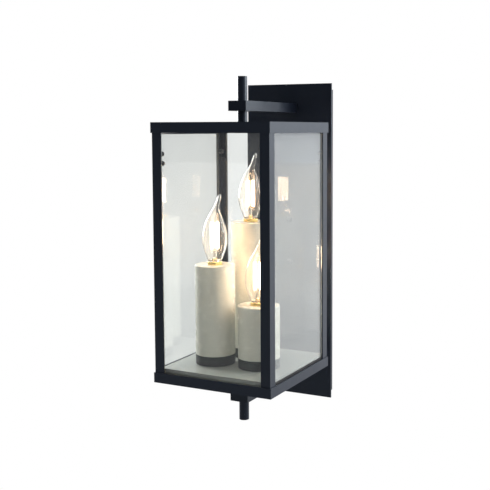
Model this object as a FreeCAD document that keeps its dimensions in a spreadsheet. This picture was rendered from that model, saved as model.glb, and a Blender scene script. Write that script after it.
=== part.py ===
import FreeCAD, Part
import math
import os

import Sketcher

# Outdoor wall lantern: a square glazed cage carried between two arms, with three candle lamps inside.
# Frame: millimetres, origin on the wall at the middle of the plate, +X right, +Y into the wall, +Z up.

DRIVING_SIZES = {
    # wall plate, the shallow frame behind it and the gasket on the wall
    "plate_width": 130.0,
    "plate_height": 439.0,
    "plate_thickness": 2.0,
    "backing_depth": 8.0,
    "backing_wall": 1.6,
    "backing_side_inset": 2.75,
    "backing_end_inset": 8.5,
    "gasket_thickness": 1.5,
    "gasket_width": 8.0,
    # bar on the wall box, and the studs and cap nuts that hold the plate to it
    "crossbar_length": 112.0,
    "crossbar_width": 18.0,
    "crossbar_thickness": 2.5,
    "box_screw_spacing": 88.9,
    "box_hole_radius": 2.3,
    "stud_spacing": 60.0,
    "stud_radius": 2.4,
    "cap_nut_radius": 4.6,
    "cap_nut_height": 6.0,
    "ground_screw_radius": 1.9,
    # arms and stems
    "stem_reach": 143.5,
    "stem_radius": 6.35,
    "stem_bore": 4.95,
    "stem_top": 223.5,
    "stem_bottom": 219.0,
    "stem_cap_thickness": 1.2,
    "arm_width": 25.4,
    "arm_height": 12.7,
    "arm_wall": 1.6,
    "arm_level": 186.3,
    "arm_nose": 13.4,
    "arm_bolt_radius": 2.0,
    "arm_bolt_offset": 8.0,
    # cage
    "cage_width": 165.1,
    "cage_height": 324.7,
    "cap_level": 165.6,
    "cap_rim": 13.1,
    "pan_rim": 12.5,
    "sheet": 1.3,
    "post_leg": 12.7,
    "door_gap": 0.3,
    "stop_leg": 4.0,
    "drain_radius": 2.0,
    # panes, their tape and their round-headed screws
    "glass_thickness": 3.0,
    "glass_half_width": 69.6,
    "tape_thickness": 0.75,
    "pane_screw_offset": 71.4,
    "pane_screw_radius": 1.5,
    "pane_screw_head": 3.4,
    "pane_screw_head_height": 6.2,
    "front_screw_drop": 50.6,
    "side_screw_drop": 38.9,
    # floor tray, candles and sockets
    "tray_drop": 307.0,
    "tray_half_width": 75.6,
    "cup_height": 12.7,
    "sleeve_radius": 25.4,
    "sleeve_wall": 2.0,
    "sleeve_mouth": 10.0,
    "spigot_height": 6.0,
    "nipple_radius": 4.8,
    "nipple_bore": 3.4,
    "nut_radius": 7.5,
    "nut_height": 3.0,
    "socket_radius": 11.0,
    "socket_drop": 2.6,
    "socket_height": 29.0,
    "socket_entry": 6.5,
    "socket_floor": 8.0,
    "socket_shell_radius": 5.98,
    "socket_shell_wall": 0.5,
    "socket_shell_depth": 18.0,
    # lamps
    "lamp_shell_radius": 5.9,
    "lamp_shell_depth": 18.8,
    "lamp_collar_radius": 9.3,
    "lamp_collar_top": 4.0,
    "lamp_collar_drop": 1.8,
    "lamp_glass_wall": 0.8,
    "lead_radius": 1.1,
    # door on the left side
    "door_rail": 4.8,
    "door_flange": 3.6,
    "hinge_height": 28.0,
    "hinge_level": 102.0,
    "hinge_axis_out": 1.75,
    "hinge_barrel": 1.6,
    "hinge_pin": 0.8,
    "hinge_leaf": 1.0,
    "hinge_leaf_width": 9.0,
    "knob_radius": 3.4,
    "knob_height": 4.0,
    "knob_inset": 3.8,
    "magnet_radius": 2.0,
    "magnet_height": 1.6,
}

# Each candle: name, place from the stem's axis, and height of its sleeve.
CANDLES = (
    ("left", -28.5, -21.5, 114.3),
    ("right", 31.0, -17.0, 66.0),
    ("rear", -6.0, 32.0, 165.1),
)

# Lamp glass, a bent flame: height above the collar, radius, and how far the middle has leaned.
LAMP_SECTIONS = (
    (0.0, 8.4, 0.0),
    (7.0, 11.2, 0.0),
    (14.5, 13.9, 0.0),
    (25.0, 16.2, 0.0),
    (34.0, 15.8, 0.0),
    (43.0, 14.2, 0.1),
    (55.0, 10.2, 0.4),
    (65.0, 5.2, 1.5),
    (74.0, 2.9, 4.0),
    (81.0, 2.3, 5.9),
    (85.4, 1.2, 6.7),
)
LAMP_LEAN_ANGLE = 26.0
LAMP_TIP_DEPTH = 2.6

RUNNING_CLEARANCE = 0.05
PANES = (("front", 0.0), ("right", 90.0), ("back", 180.0), ("left", 270.0))

DOC = FreeCAD.newDocument("wall_lantern")
SHEET = DOC.addObject("Spreadsheet::Sheet", "Sizes")
SUB_PARTS = []
UP = FreeCAD.Vector(0, 0, 1)


class Length:
    """A number of millimetres together with the sheet expression that gives it."""

    def __init__(self, value, text):
        self.value = value
        self.text = text

    def __add__(self, other):
        other = as_length(other)
        return Length(self.value + other.value, f"({self.text} + {other.text})")

    def __sub__(self, other):
        other = as_length(other)
        return Length(self.value - other.value, f"({self.text} - {other.text})")

    def __mul__(self, factor):
        return Length(self.value * factor, f"({self.text} * {factor})")

    def __truediv__(self, divisor):
        return Length(self.value / divisor, f"({self.text} / {divisor})")

    def __neg__(self):
        return Length(-self.value, f"(0 - {self.text})")

    __radd__ = __add__
    __rmul__ = __mul__


def as_length(number):
    if isinstance(number, Length):
        return number
    return Length(float(number), f"({float(number)})")


def fill_sheet():
    lengths = {}
    for row, (alias, value) in enumerate(DRIVING_SIZES.items(), start=1):
        SHEET.set(f"A{row}", alias)
        SHEET.set(f"B{row}", str(value))
        SHEET.setAlias(f"B{row}", alias)
        lengths[alias] = Length(value, f"Sizes.{alias}")
    DOC.recompute()
    return lengths


SIZE = fill_sheet()


def size(alias):
    return SIZE[alias]


def bind(target, name, length):
    target.setExpression(name, as_length(length).text)


def place(target, at, rotation=None):
    if rotation is not None:
        target.Placement = FreeCAD.Placement(FreeCAD.Vector(), rotation)
    for axis_name, length in zip("xyz", at):
        bind(target, f"Placement.Base.{axis_name}", length)
    return target


def keep(target, label):
    """Mark a finished object as the sub-part with this name."""
    target.Label = label
    SUB_PARTS.append(target)
    return target


# ---- Part primitives ----

def box(name, low, sides):
    made = DOC.addObject("Part::Box", name)
    for side_name, length in zip(("Length", "Width", "Height"), sides):
        bind(made, side_name, length)
    return place(made, low)


def span_box(name, spans):
    """A box from its lowest and highest coordinate along each axis."""
    low = [as_length(span[0]) for span in spans]
    sides = [as_length(span[1]) - as_length(span[0]) for span in spans]
    return box(name, low, sides)


def rod(name, radius, length, at, axis=UP):
    made = DOC.addObject("Part::Cylinder", name)
    bind(made, "Radius", radius)
    bind(made, "Height", length)
    return place(made, at, FreeCAD.Rotation(UP, FreeCAD.Vector(axis)))


def cut(name, base, *tools):
    made = DOC.addObject("Part::Cut", name)
    made.Base = base
    made.Tool = tools[0] if len(tools) == 1 else fuse(f"{name}_tools", *tools)
    return made


def fuse(name, *pieces):
    made = DOC.addObject("Part::MultiFuse", name)
    made.Shapes = list(pieces)
    return made


def group(name, pieces):
    made = DOC.addObject("Part::Compound", name)
    made.Links = list(pieces)
    return made


def tube(name, radius, bore, length, at, axis=UP):
    outer = rod(f"{name}_outer", radius, length, at, axis)
    inner = rod(f"{name}_bore", bore, length, at, axis)
    return cut(name, outer, inner)


# ---- PartDesign bodies ----

def origin_plane(body, role):
    return next(item for item in body.Origin.OriginFeatures if item.Role == role)


def new_sketch(body, name, role, offset=None):
    sketch = body.newObject("Sketcher::SketchObject", name)
    sketch.AttachmentSupport = [(origin_plane(body, role), "")]
    sketch.MapMode = "FlatFace"
    if offset is not None:
        bind(sketch, "AttachmentOffset.Base.z", offset)
    return sketch


def draw_outline(sketch, corners):
    """A closed outline whose corners are held from the sketch's origin by the sheet."""
    first = sketch.GeometryCount
    count = len(corners)
    corners = [(as_length(across), as_length(up)) for across, up in corners]
    points = [FreeCAD.Vector(across.value, up.value, 0) for across, up in corners]
    for index in range(count):
        sketch.addGeometry(Part.LineSegment(points[index], points[(index + 1) % count]), False)
    for index in range(count):
        here = first + index
        after = first + (index + 1) % count
        sketch.addConstraint(Sketcher.Constraint("Coincident", here, 2, after, 1))
    for index, (across, up) in enumerate(corners):
        for kind, length in (("DistanceX", across), ("DistanceY", up)):
            rule = Sketcher.Constraint(kind, -1, 1, first + index, 1, length.value)
            number = sketch.addConstraint(rule)
            sketch.setExpression(f"Constraints[{number}]", length.text)


def draw_circle(sketch, across, up, radius):
    across, up, radius = as_length(across), as_length(up), as_length(radius)
    centre = FreeCAD.Vector(across.value, up.value, 0)
    here = sketch.addGeometry(Part.Circle(centre, UP, radius.value), False)
    rules = (
        (Sketcher.Constraint("DistanceX", -1, 1, here, 3, across.value), across),
        (Sketcher.Constraint("DistanceY", -1, 1, here, 3, up.value), up),
        (Sketcher.Constraint("Radius", here, radius.value), radius),
    )
    for rule, length in rules:
        number = sketch.addConstraint(rule)
        sketch.setExpression(f"Constraints[{number}]", length.text)


def rectangle(low_x, high_x, low_y, high_y):
    return ((low_x, low_y), (high_x, low_y), (high_x, high_y), (low_x, high_y))


def new_body(name):
    return DOC.addObject("PartDesign::Body", name)


def pad(body, name, role, outlines, circles, length, offset=None, back=False):
    """Pad outlines and circles along the plane's normal, or against it with back."""
    sketch = new_sketch(body, f"{name}_sketch", role, offset)
    for corners in outlines:
        draw_outline(sketch, corners)
    for across, up, radius in circles:
        draw_circle(sketch, across, up, radius)
    feature = body.newObject("PartDesign::Pad", name)
    feature.Profile = sketch
    feature.Reversed = back
    bind(feature, "Length", length)
    return feature


def pocket(body, name, role, outlines, circles, length, offset=None, along=False):
    """Cut against the plane's normal, or along it, and make sure that it removes something."""
    DOC.recompute()
    before = body.Shape.Volume
    sketch = new_sketch(body, f"{name}_sketch", role, offset)
    for corners in outlines:
        draw_outline(sketch, corners)
    for across, up, radius in circles:
        draw_circle(sketch, across, up, radius)
    feature = body.newObject("PartDesign::Pocket", name)
    feature.Profile = sketch
    feature.Reversed = along
    bind(feature, "Length", length)
    DOC.recompute()
    if body.Shape.Volume >= before:
        raise RuntimeError(f"{name} removes nothing")
    return feature


def lathe(name, profile, at):
    """A body turned about its own Z axis from (radius, height) corners."""
    body = new_body(name)
    sketch = new_sketch(body, f"{name}_profile", "XZ_Plane")
    draw_outline(sketch, profile)
    turn = body.newObject("PartDesign::Revolution", f"{name}_turn")
    turn.Profile = sketch
    turn.ReferenceAxis = (sketch, ["V_Axis"])
    turn.Angle = 360.0
    return place(body, at)


# ---- shared levels and faces ----

AXIS_Y = -size("stem_reach")
CAP_TOP = size("cap_level")
CAGE_BOTTOM = CAP_TOP - size("cage_height")
CAP_UNDERSIDE = CAP_TOP - size("sheet")
CAP_RIM_END = CAP_TOP - size("cap_rim")
PAN_FLOOR = CAGE_BOTTOM + size("sheet")
PAN_RIM_END = CAGE_BOTTOM + size("pan_rim")
TRAY_TOP = CAP_TOP - size("tray_drop")
HALF_CAGE = size("cage_width") / 2
POST_FACE = HALF_CAGE - size("sheet")
LEG_INSIDE = POST_FACE - size("sheet")
GLASS_FACE = LEG_INSIDE - size("tape_thickness")
GLASS_INSIDE = GLASS_FACE - size("glass_thickness")
LEG_EDGE = POST_FACE - size("post_leg")
SLEEVE_FOOT = TRAY_TOP + size("cup_height")
PLATE_BACK = -(size("gasket_thickness") + size("backing_depth"))
PLATE_FACE = PLATE_BACK - size("plate_thickness")
LEAF_TOP = CAP_RIM_END - size("door_gap")
LEAF_BOTTOM = PAN_RIM_END + size("door_gap")
DOOR_GLASS_BOTTOM = LEAF_BOTTOM + size("sheet")
DOOR_GLASS_TOP = LEAF_TOP - size("sheet")


# ---- wall side ----

def make_wall_plate():
    half_width = size("plate_width") / 2
    half_height = size("plate_height") / 2
    outline = rectangle(-half_width, half_width, -half_height, half_height)
    stud_hole = size("stud_radius") + 0.2
    bolt_hole = size("arm_bolt_radius") + RUNNING_CLEARANCE
    holes = [(0, size("stud_spacing") / 2, stud_hole), (0, -size("stud_spacing") / 2, stud_hole)]
    for level in (size("arm_level"), -size("arm_level")):
        for side in (-1, 1):
            holes.append((size("arm_bolt_offset") * side, level, bolt_hole))
    holes.append((0, -size("arm_level"), 3.5))
    body = new_body("wall_plate")
    pad(body, "wall_plate_pad", "XZ_Plane", [outline], holes, size("plate_thickness"))
    keep(place(body, (0, PLATE_BACK, 0)), "wall_plate")


def make_backing():
    half_width = size("plate_width") / 2 - size("backing_side_inset")
    half_height = size("plate_height") / 2 - size("backing_end_inset")
    wall = size("backing_wall")
    outer = rectangle(-half_width, half_width, -half_height, half_height)
    inner = rectangle(-half_width + wall, half_width - wall, -half_height + wall, half_height - wall)
    body = new_body("backing_frame")
    pad(body, "backing_frame_pad", "XZ_Plane", [outer, inner], [], size("backing_depth"))
    keep(place(body, (0, -size("gasket_thickness"), 0)), "backing_frame")

    strip = size("gasket_width")
    opening = rectangle(-half_width + strip, half_width - strip, -half_height + strip, half_height - strip)
    gasket = new_body("wall_gasket")
    pad(gasket, "wall_gasket_pad", "XZ_Plane", [outer, opening], [], size("gasket_thickness"))
    keep(place(gasket, (0, 0, 0)), "wall_gasket")


def make_crossbar():
    half_length = size("crossbar_length") / 2
    half_width = size("crossbar_width") / 2
    outline = rectangle(-half_width, half_width, -half_length, half_length)
    tapped = size("stud_radius")
    holes = [(0, size("stud_spacing") / 2, tapped), (0, -size("stud_spacing") / 2, tapped)]
    box_hole = size("box_hole_radius")
    for level in (size("box_screw_spacing") / 2, -size("box_screw_spacing") / 2):
        holes.append((0, level, box_hole))
    holes.append((size("crossbar_width") / 4, 0, size("ground_screw_radius")))
    body = new_body("crossbar")
    pad(body, "crossbar_pad", "XZ_Plane", [outline], holes, size("crossbar_thickness"))
    keep(place(body, (0, 0, 0)), "crossbar")

    studs, nuts = [], []
    stud_length = -PLATE_FACE + 4
    for word, level in (("upper", size("stud_spacing") / 2), ("lower", -size("stud_spacing") / 2)):
        studs.append(rod(f"stud_{word}", size("stud_radius"), stud_length, (0, 0, level), (0, -1, 0)))
        nut = cap_nut(f"cap_nut_{word}")
        nuts.append(place(nut, (0, PLATE_FACE, level), FreeCAD.Rotation(UP, FreeCAD.Vector(0, -1, 0))))
    keep(group("plate_studs", studs), "plate_studs")
    keep(group("cap_nuts", nuts), "cap_nuts")

    head_radius = size("ground_screw_radius") * 2
    head_at = (size("crossbar_width") / 4, -size("crossbar_thickness"), 0)
    head = rod("ground_screw_head", head_radius, 2, head_at, (0, -1, 0))
    shank_at = (size("crossbar_width") / 4, 0, 0)
    shank_radius = size("ground_screw_radius")
    shank = rod("ground_screw_shank", shank_radius, size("crossbar_thickness"), shank_at, (0, -1, 0))
    keep(fuse("ground_screw", head, shank), "ground_screw")


def cap_nut(name):
    """A domed nut with a blind thread, its mouth at the origin and its dome along +Z."""
    radius = size("cap_nut_radius")
    height = size("cap_nut_height")
    bore = size("stud_radius") + 0.02
    profile = (
        (bore, 0),
        (radius, 0),
        (radius, height / 2),
        (radius * 0.8, height * 0.85),
        (radius * 0.4, height),
        (0, height),
        (0, height * 0.75),
        (bore, height * 0.75),
    )
    return lathe(name, profile, (0, 0, 0))


# ---- arms and stems ----

def make_arm(name, level, has_wires):
    """A closed rectangular tube from the wall plate to just past the stem."""
    half_width = size("arm_width") / 2
    half_height = size("arm_height") / 2
    nose = AXIS_Y - size("arm_nose")
    wall = size("arm_wall")
    spans = ((-half_width, half_width), (nose, PLATE_FACE), (level - half_height, level + half_height))
    hollow = (
        (-half_width + wall, half_width - wall),
        (nose + wall, PLATE_FACE - wall * 2),
        (level - half_height + wall, level + half_height - wall),
    )
    outer = span_box(f"{name}_outer", spans)
    inner = span_box(f"{name}_hollow", hollow)
    stem_hole = rod(
        f"{name}_stem_hole",
        size("stem_radius") + 0.02,
        size("arm_height"),
        (0, AXIS_Y, level - half_height),
    )
    tools = [inner, stem_hole]
    for word, side in (("left", -1), ("right", 1)):
        at = (size("arm_bolt_offset") * side, PLATE_FACE, level)
        bolt_hole = rod(f"{name}_{word}_bolt_hole", size("arm_bolt_radius"), wall * 2, at, (0, -1, 0))
        tools.append(bolt_hole)
    if has_wires:
        tools.append(rod(f"{name}_wire_hole", 3.5, wall * 2, (0, PLATE_FACE, level), (0, -1, 0)))
    keep(cut(name, outer, *tools), name)


def make_arm_bolts():
    """Flanged screws from behind the plate into each arm's end wall."""
    bolts = []
    radius = size("arm_bolt_radius")
    length = size("plate_thickness") + size("arm_wall") * 2
    for word, level in (("upper", size("arm_level")), ("lower", -size("arm_level"))):
        for hand, side in (("left", -1), ("right", 1)):
            name = f"{word}_{hand}_arm_bolt"
            at = (size("arm_bolt_offset") * side, PLATE_BACK, level)
            head = rod(f"{name}_head", radius * 1.8, 2.4, at, (0, 1, 0))
            shank = rod(f"{name}_shank", radius, length, at, (0, -1, 0))
            bolts.append(fuse(name, head, shank))
    keep(group("arm_bolts", bolts), "arm_bolts")


def make_stems():
    cap = size("stem_cap_thickness")
    upper_length = size("stem_top") - cap - CAP_TOP
    upper = tube("upper_stem", size("stem_radius"), size("stem_bore"), upper_length, (0, AXIS_Y, CAP_TOP))
    keep(upper, "upper_stem")

    foot = -size("stem_bottom") + cap
    lower_length = CAGE_BOTTOM - foot
    foot_at = (0, AXIS_Y, foot)
    lower_tube = tube("lower_stem_tube", size("stem_radius"), size("stem_bore"), lower_length, foot_at)
    window = span_box(
        "lower_stem_window",
        (
            (-3.2, 3.2),
            (AXIS_Y, AXIS_Y + size("stem_radius") + 1),
            (-size("arm_level") - 4, -size("arm_level") + 5.5),
        ),
    )
    keep(cut("lower_stem", lower_tube, window), "lower_stem")

    plug_radius = size("stem_bore")
    caps = []
    for word, face, into in (("top", size("stem_top"), -1), ("bottom", -size("stem_bottom"), 1)):
        disc = rod(f"{word}_cap_disc", size("stem_radius"), cap, (0, AXIS_Y, face), (0, 0, into))
        plug = rod(f"{word}_cap_plug", plug_radius, cap * 4, (0, AXIS_Y, face), (0, 0, into))
        caps.append(fuse(f"{word}_stem_cap", disc, plug))
    keep(group("stem_end_caps", caps), "stem_end_caps")


def make_stem_fixings():
    """The rod and the hollow nipple that clamp the cage to its stems, with their nuts."""
    nut_height = size("nut_height")
    rod_foot = CAP_UNDERSIDE - nut_height * 2
    rod_length = CAP_TOP + 40 - rod_foot
    keep(rod("upper_rod", size("stem_bore"), rod_length, (0, AXIS_Y, rod_foot)), "upper_rod")

    nipple_foot = CAGE_BOTTOM - 14
    nipple_length = PAN_FLOOR + nut_height * 1.5 - nipple_foot
    nipple_at = (0, AXIS_Y, nipple_foot)
    nipple = tube("stem_nipple", size("stem_bore"), size("nipple_bore"), nipple_length, nipple_at)
    keep(nipple, "stem_nipple")

    return [
        hexagon_nut("upper_rod_nut", size("stem_bore"), (0, AXIS_Y, CAP_UNDERSIDE - nut_height)),
        hexagon_nut("stem_nipple_nut", size("stem_bore"), (0, AXIS_Y, PAN_FLOOR)),
    ]


def hexagon_nut(name, bore, at):
    body = new_body(name)
    corners = []
    for step in range(6):
        angle = math.radians(60 * step)
        corners.append((size("nut_radius") * math.cos(angle), size("nut_radius") * math.sin(angle)))
    pad(body, f"{name}_pad", "XY_Plane", [corners], [(0, 0, bore)], size("nut_height"))
    return place(body, at)


# ---- cage ----

def square(half):
    return rectangle(-half, half, -half, half)


def make_cap():
    body = new_body("top_cap")
    pad(body, "top_cap_pad", "XY_Plane", [square(HALF_CAGE)], [], size("cap_rim"), back=True)
    pocket(
        body,
        "top_cap_hollow",
        "XY_Plane",
        [square(POST_FACE)],
        [],
        size("cap_rim") - size("sheet"),
        -size("cap_rim"),
        along=True,
    )
    pocket(body, "top_cap_hole", "XY_Plane", [], [(0, 0, size("stem_bore"))], size("sheet"))
    keep(place(body, (0, AXIS_Y, CAP_TOP)), "top_cap")


def make_pan():
    body = new_body("bottom_pan")
    pad(body, "bottom_pan_pad", "XY_Plane", [square(HALF_CAGE)], [], size("pan_rim"))
    depth = size("pan_rim") - size("sheet")
    pocket(body, "bottom_pan_hollow", "XY_Plane", [square(POST_FACE)], [], depth, size("pan_rim"))
    corner = LEG_EDGE - 8
    holes = [(0, 0, size("stem_bore"))]
    for side in (-1, 1):
        for end in (-1, 1):
            holes.append((corner * side, corner * end, size("drain_radius")))
    pocket(body, "bottom_pan_holes", "XY_Plane", [], holes, size("sheet"), size("sheet"))
    keep(place(body, (0, AXIS_Y, CAGE_BOTTOM)), "bottom_pan")


def make_tray():
    """The inverted tray that the candles stand on, with the wiring under it."""
    half = size("tray_half_width")
    height = TRAY_TOP - PAN_FLOOR
    body = new_body("floor_tray")
    pad(body, "floor_tray_pad", "XY_Plane", [square(half)], [], height, back=True)
    inside = square(half - size("sheet"))
    pocket(body, "floor_tray_hollow", "XY_Plane", [inside], [], height - size("sheet"), -height, along=True)
    holes = [(x, y, size("nipple_radius")) for _, x, y, _ in CANDLES]
    pocket(body, "floor_tray_holes", "XY_Plane", [], holes, size("sheet"))
    keep(place(body, (0, AXIS_Y, TRAY_TOP)), "floor_tray")


def make_plain_post(name, turn):
    """A right-angle post, drawn at the front right corner and turned about the stem's axis."""
    face = POST_FACE
    inside = LEG_INSIDE
    edge = LEG_EDGE
    outline = (
        (edge, -face),
        (face, -face),
        (face, -edge),
        (inside, -edge),
        (inside, -inside),
        (edge, -inside),
    )
    body = new_body(name)
    pad(body, f"{name}_pad", "XY_Plane", [outline], [], CAP_UNDERSIDE - PAN_FLOOR)
    keep(place(body, (0, AXIS_Y, PAN_FLOOR), FreeCAD.Rotation(UP, turn)), name)


def make_stop_post(name, end):
    """A post on the door side: one leg, and a narrow stop behind the door's edge."""
    face = POST_FACE
    inside = LEG_INSIDE
    stop = inside - size("door_gap")
    stop_inside = stop - size("sheet")
    stop_edge = inside - size("stop_leg")
    outline = (
        (-face, face * end),
        (-LEG_EDGE, face * end),
        (-LEG_EDGE, inside * end),
        (-stop_inside, inside * end),
        (-stop_inside, stop_edge * end),
        (-stop, stop_edge * end),
        (-stop, inside * end),
        (-face, inside * end),
    )
    body = new_body(name)
    pad(body, f"{name}_pad", "XY_Plane", [outline], [], CAP_UNDERSIDE - PAN_FLOOR)
    keep(place(body, (0, AXIS_Y, PAN_FLOOR)), name)


def turned_box(name, spans, turn):
    """A box drawn for the front pane, about the stem's axis, and turned to its own side."""
    body = new_body(name)
    (low_x, high_x), (low_y, high_y), (low_z, high_z) = spans
    height = as_length(high_z) - as_length(low_z)
    pad(body, f"{name}_pad", "XY_Plane", [rectangle(low_x, high_x, low_y, high_y)], [], height)
    return place(body, (0, AXIS_Y, low_z), FreeCAD.Rotation(UP, turn))


def make_panes():
    tapes = []
    for side, turn in PANES:
        is_door = side == "left"
        half = size("glass_half_width")
        bottom = DOOR_GLASS_BOTTOM if is_door else PAN_FLOOR
        top = DOOR_GLASS_TOP if is_door else CAP_UNDERSIDE - 0.5
        spans = ((-half, half), (-GLASS_FACE, -GLASS_INSIDE), (bottom, top))
        label = "door_glass" if is_door else f"{side}_glass"
        keep(turned_box(label, spans, turn), label)
        strips = []
        for hand, sign in (("left", -1), ("right", 1)):
            across = sorted((half * sign, LEG_EDGE * sign), key=lambda item: item.value)
            strip_spans = (across, (-LEG_INSIDE, -GLASS_FACE), (bottom, top))
            strips.append(turned_box(f"{side}_{hand}_tape", strip_spans, turn))
        if is_door:
            keep(group("door_tape", strips), "door_tape")
        else:
            tapes.extend(strips)
    keep(group("glazing_tape", tapes), "glazing_tape")


def pane_screw(name, turn, sign, level):
    """A round-headed screw from inside, through its leg, with its head over the pane's edge."""
    body = new_body(name)
    across = size("pane_screw_offset") * sign
    length = LEG_INSIDE - GLASS_INSIDE + size("pane_screw_head_height")
    inner_end = -(GLASS_INSIDE - size("pane_screw_head_height"))
    pad(
        body,
        f"{name}_shank",
        "XZ_Plane",
        [],
        [(across, 0, size("pane_screw_radius"))],
        length,
        -inner_end,
    )
    pad(
        body,
        f"{name}_head",
        "XZ_Plane",
        [],
        [(across, 0, size("pane_screw_head"))],
        size("pane_screw_head_height"),
        -inner_end,
    )
    return place(body, (0, AXIS_Y, level), FreeCAD.Rotation(UP, turn))


def make_pane_screws():
    fixed, on_door = [], []
    for side, turn in PANES:
        drop = size("front_screw_drop") if side in ("front", "back") else size("side_screw_drop")
        for hand, sign in (("left", -1), ("right", 1)):
            screw = pane_screw(f"{side}_{hand}_screw", turn, sign, CAP_TOP - drop)
            if side == "left":
                on_door.append(screw)
            else:
                fixed.append(screw)
    keep(group("pane_screws", fixed), "pane_screws")
    keep(group("door_pane_screws", on_door), "door_pane_screws")


# ---- door ----

def make_door_leaf():
    """A sheet frame flush with the posts, with a lip at the top and bottom that holds its pane."""
    half = LEG_INSIDE - size("door_gap")
    opening = LEG_EDGE
    outer = rectangle(-half, half, LEAF_BOTTOM, LEAF_TOP)
    window = rectangle(-opening, opening, LEAF_BOTTOM + size("door_rail"), LEAF_TOP - size("sheet"))
    body = new_body("door_leaf")
    pad(body, "door_leaf_pad", "YZ_Plane", [outer, window], [], size("sheet"), -POST_FACE)
    for word, low, high in (
        ("top", LEAF_TOP - size("sheet"), LEAF_TOP),
        ("bottom", LEAF_BOTTOM, LEAF_BOTTOM + size("sheet")),
    ):
        lip = rectangle(-LEG_EDGE, LEG_EDGE, low, high)
        depth = size("sheet") + size("door_flange")
        pad(body, f"door_leaf_{word}_lip", "YZ_Plane", [lip], [], depth, -POST_FACE)
    keep(place(body, (0, AXIS_Y, 0)), "door_leaf")


def hinge_axis():
    return (-POST_FACE - size("hinge_axis_out"), AXIS_Y + POST_FACE - 0.25)


def make_hinges():
    """Two butt hinges at the back left corner: three knuckles on a pin, the middle one on the door."""
    axis_x, axis_y = hinge_axis()
    leaf = size("hinge_leaf")
    width = size("hinge_leaf_width")
    height = size("hinge_height")
    end_knuckle = height * 0.3
    middle = height * 0.4
    gap = size("door_gap")
    fixed, moving = [], []
    for word, level in (("upper", size("hinge_level")), ("lower", -size("hinge_level"))):
        low = level - height / 2
        for place_word, foot in (("low", low), ("high", low + height - end_knuckle)):
            name = f"{word}_{place_word}_knuckle"
            barrel = rod(f"{name}_barrel", size("hinge_barrel"), end_knuckle, (axis_x, axis_y, foot))
            post_leaf = span_box(
                f"{name}_leaf",
                (
                    (axis_x, -POST_FACE + width),
                    (AXIS_Y + POST_FACE, AXIS_Y + POST_FACE + leaf),
                    (foot, foot + end_knuckle),
                ),
            )
            pin_hole = rod(f"{name}_hole", size("hinge_pin"), end_knuckle, (axis_x, axis_y, foot))
            fixed.append(cut(name, fuse(f"{name}_blank", barrel, post_leaf), pin_hole))
        fixed.append(rod(f"{word}_hinge_pin", size("hinge_pin"), height, (axis_x, axis_y, low)))

        foot = low + end_knuckle + gap
        length = middle - gap * 2
        axis_at = (axis_x, axis_y, foot)
        barrel = rod(f"{word}_door_barrel", size("hinge_barrel"), length, axis_at)
        door_leaf = span_box(
            f"{word}_door_leaf",
            (
                (-POST_FACE - leaf, -POST_FACE),
                (axis_y - width, axis_y),
                (foot, foot + length),
            ),
        )
        trim = rod(f"{word}_corner_trim", gap + size("hinge_axis_out"), length, axis_at)
        plate = cut(f"{word}_door_plate", door_leaf, trim)
        arm = span_box(
            f"{word}_door_arm",
            (
                (axis_x, -POST_FACE - 0.35),
                (axis_y - 2.6, axis_y),
                (foot, foot + length),
            ),
        )
        hole = rod(f"{word}_door_hole", size("hinge_pin") + RUNNING_CLEARANCE, length, axis_at)
        moving.append(cut(f"{word}_door_half", fuse(f"{word}_door_blank", barrel, plate, arm), hole))
    keep(group("hinge_fixed_halves", fixed), "hinge_fixed_halves")
    keep(group("hinge_door_halves", moving), "hinge_door_halves")


def make_door_fittings():
    along = AXIS_Y - LEG_EDGE - size("knob_inset")
    radius = size("knob_radius")
    height = size("knob_height")
    profile = (
        (0, 0),
        (radius * 0.55, 0),
        (radius * 0.45, height * 0.35),
        (radius * 0.9, height * 0.55),
        (radius, height * 0.7),
        (radius, height * 0.85),
        (radius * 0.85, height),
        (0, height),
    )
    knob = lathe("door_knob", profile, (0, 0, 0))
    turn = FreeCAD.Rotation(UP, FreeCAD.Vector(-1, 0, 0))
    keep(place(knob, (-POST_FACE, along, 0), turn), "door_knob")

    magnets = []
    stop_inside = -(LEG_INSIDE - size("door_gap") - size("sheet"))
    beside = AXIS_Y - LEG_INSIDE + size("stop_leg") / 2
    for word, level in (("upper", 70), ("lower", -70)):
        at = (stop_inside, beside, level)
        magnets.append(rod(f"{word}_magnet", size("magnet_radius"), size("magnet_height"), at, (1, 0, 0)))
    keep(group("catch_magnets", magnets), "catch_magnets")


# ---- candles and lamps ----

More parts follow.
